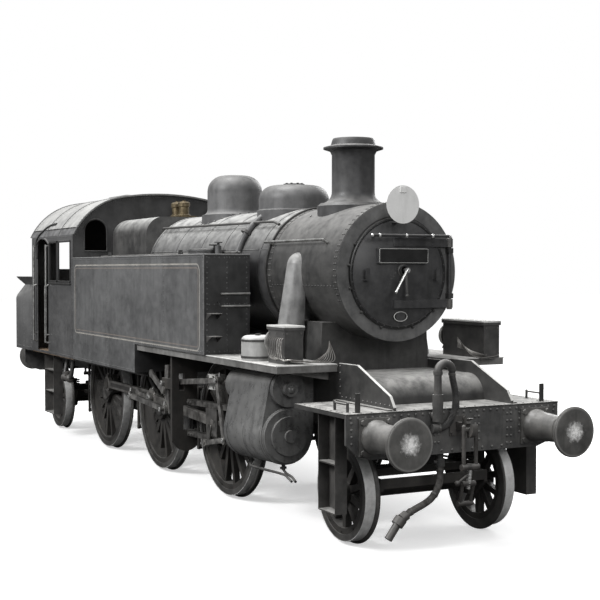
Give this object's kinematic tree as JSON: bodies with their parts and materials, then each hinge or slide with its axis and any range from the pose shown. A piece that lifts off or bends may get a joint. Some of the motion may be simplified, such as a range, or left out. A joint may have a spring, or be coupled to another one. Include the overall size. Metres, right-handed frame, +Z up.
{
  "type": "steam locomotive",
  "caption": "Side-tank steam engine with three coupled driving axles, a guiding truck at each end, outside cylinders, an enclosed cab and a rear coal bunker.",
  "frame": {"origin": "under the centre of the main driving axle, level with the flange bottoms of the rail wheels, on the middle plane, which is the centre of the box's footprint", "axes": "+X runs forward to the chimney end, +Y to the left side, +Z up"},
  "size_m": [11.824, 2.778, 3.8918],
  "materials": {
    "black_paint": "oily satin black paint",
    "frame_paint": "dirty matt black paint",
    "beam_paint": "worn satin paint",
    "buffer_steel": "worn iron with a greasy face",
    "coupling_steel": "worn black iron",
    "plate_paint": "dusty black paint",
    "smokebox_paint": "matt heat-dulled black",
    "door_paint": "satin dark grey-black",
    "chimney_paint": "matt black casting",
    "boiler_paint": "semi-gloss black",
    "firebox_paint": "satin black",
    "valve_brass": "dull brass",
    "tank_paint": "lined semi-gloss black",
    "cab_paint": "semi-gloss black",
    "roof_paint": "pale weathered grey",
    "floor_wood": "bare boards",
    "cab_brass": "handled brass and black paint",
    "bunker_paint": "semi-gloss black",
    "cylinder_paint": "satin black cleading",
    "bright_steel": "oiled machined steel",
    "rod_steel": "oiled forged steel",
    "gear_steel": "oiled machined steel",
    "lubricator_paint": "oily black",
    "rail_steel": "worn bright steel",
    "pipe_paint": "worn black",
    "hose_rubber": "matt black rubber",
    "heat_hose": "lagged hose",
    "disc_white": "white enamel",
    "wheel_paint": "greasy black paint",
    "tyre_steel": "rolled bright steel"
  },
  "bodies": {
    "locomotive": {"main_frames": "black_paint", "frame_stretchers": "frame_paint", "buffer_beams": "beam_paint", "buffers": "buffer_steel", "couplings": "coupling_steel", "front_platform": "black_paint", "running_plates": "plate_paint", "footsteps": "plate_paint", "smokebox_saddle": "smokebox_paint", "smokebox": "smokebox_paint", "chimney": "chimney_paint", "boiler_barrel": "boiler_paint", "top_feed": "boiler_paint", "dome": "boiler_paint", "firebox": "firebox_paint", "safety_valves": "valve_brass", "side_tanks": "tank_paint", "cab_front": "cab_paint", "cab_sides": "cab_paint", "cab_rear": "cab_paint", "cab_roof": "roof_paint", "cab_floor": "floor_wood", "cab_fittings": "cab_brass", "bunker": "bunker_paint", "cylinders": "cylinder_paint", "steam_pipes": "smokebox_paint", "slide_bars": "bright_steel", "motion_brackets": "frame_paint", "crossheads": "bright_steel", "connecting_rods": "rod_steel", "valve_gear": "gear_steel", "axleboxes": "frame_paint", "brake_gear": "frame_paint", "ashpan": "frame_paint", "lubricators": "lubricator_paint", "reservoir": "lubricator_paint", "handrails": "rail_steel", "train_pipes": "pipe_paint", "vacuum_hose": "hose_rubber", "steam_heat_hose": "heat_hose", "steam_heat_end": "coupling_steel"},
    "smokebox_front_door": {"smokebox_door": "door_paint", "headcode_disc": "disc_white"},
    "leading_truck_body": {"leading_truck": "frame_paint"},
    "leading_wheelset": {"leading_wheels": "wheel_paint", "leading_tyres": "tyre_steel"},
    "trailing_truck_body": {"trailing_truck": "frame_paint"},
    "trailing_wheelset": {"trailing_wheels": "wheel_paint", "trailing_tyres": "tyre_steel"},
    "main_wheelset": {"main_wheels": "wheel_paint", "main_tyres": "tyre_steel"},
    "front_wheelset": {"front_wheels": "wheel_paint", "front_tyres": "tyre_steel"},
    "rear_wheelset": {"rear_wheels": "wheel_paint", "rear_tyres": "tyre_steel"},
    "right_coupling_rod": {"coupling_rod_right": "rod_steel"},
    "left_coupling_rod": {"coupling_rod_left": "rod_steel"}
  },
  "joints": [
    {"name": "smokebox_door_hinge", "type": "hinge", "parent": "locomotive", "child": "smokebox_front_door", "pos_m": [4.345, 0.59, 2.502], "axis": [0, 0, 1], "range_deg": [0, 130]},
    {"name": "leading_truck_pivot", "type": "hinge", "parent": "locomotive", "child": "leading_truck_body", "pos_m": [2.95, 0, 0.6], "axis": [0, 0, 1], "range_deg": [-3, 3]},
    {"name": "leading_axle", "type": "hinge", "parent": "leading_truck_body", "child": "leading_wheelset", "pos_m": [4.648, 0, 0.487], "axis": [0, 1, 0], "continuous": true},
    {"name": "trailing_truck_pivot", "type": "hinge", "parent": "locomotive", "child": "trailing_truck_body", "pos_m": [-2.95, 0, 0.6], "axis": [0, 0, 1], "range_deg": [-3, 3]},
    {"name": "trailing_axle", "type": "hinge", "parent": "trailing_truck_body", "child": "trailing_wheelset", "pos_m": [-4.572, 0, 0.487], "axis": [0, 1, 0], "continuous": true},
    {"name": "main_axle", "type": "hinge", "parent": "locomotive", "child": "main_wheelset", "pos_m": [0, 0, 0.792], "axis": [0, 1, 0], "continuous": true},
    {"name": "front_axle", "type": "hinge", "parent": "locomotive", "child": "front_wheelset", "pos_m": [2.057, 0, 0.792], "axis": [0, 1, 0], "continuous": true},
    {"name": "rear_axle", "type": "hinge", "parent": "locomotive", "child": "rear_wheelset", "pos_m": [-2.134, 0, 0.792], "axis": [0, 1, 0], "continuous": true},
    {"name": "right_rod_crank", "type": "hinge", "parent": "main_wheelset", "child": "right_coupling_rod", "pos_m": [0.26414, -0.877, 0.9445], "axis": [0, 1, 0], "continuous": true},
    {"name": "left_rod_crank", "type": "hinge", "parent": "main_wheelset", "child": "left_coupling_rod", "pos_m": [-0.1525, 0.877, 1.05614], "axis": [0, 1, 0], "continuous": true}
  ],
  "couplings": [
    {"joint": "front_axle", "follows": "main_axle", "ratio": 1},
    {"joint": "rear_axle", "follows": "main_axle", "ratio": 1},
    {"joint": "right_rod_crank", "follows": "main_axle", "ratio": -1},
    {"joint": "left_rod_crank", "follows": "main_axle", "ratio": -1}
  ]
}
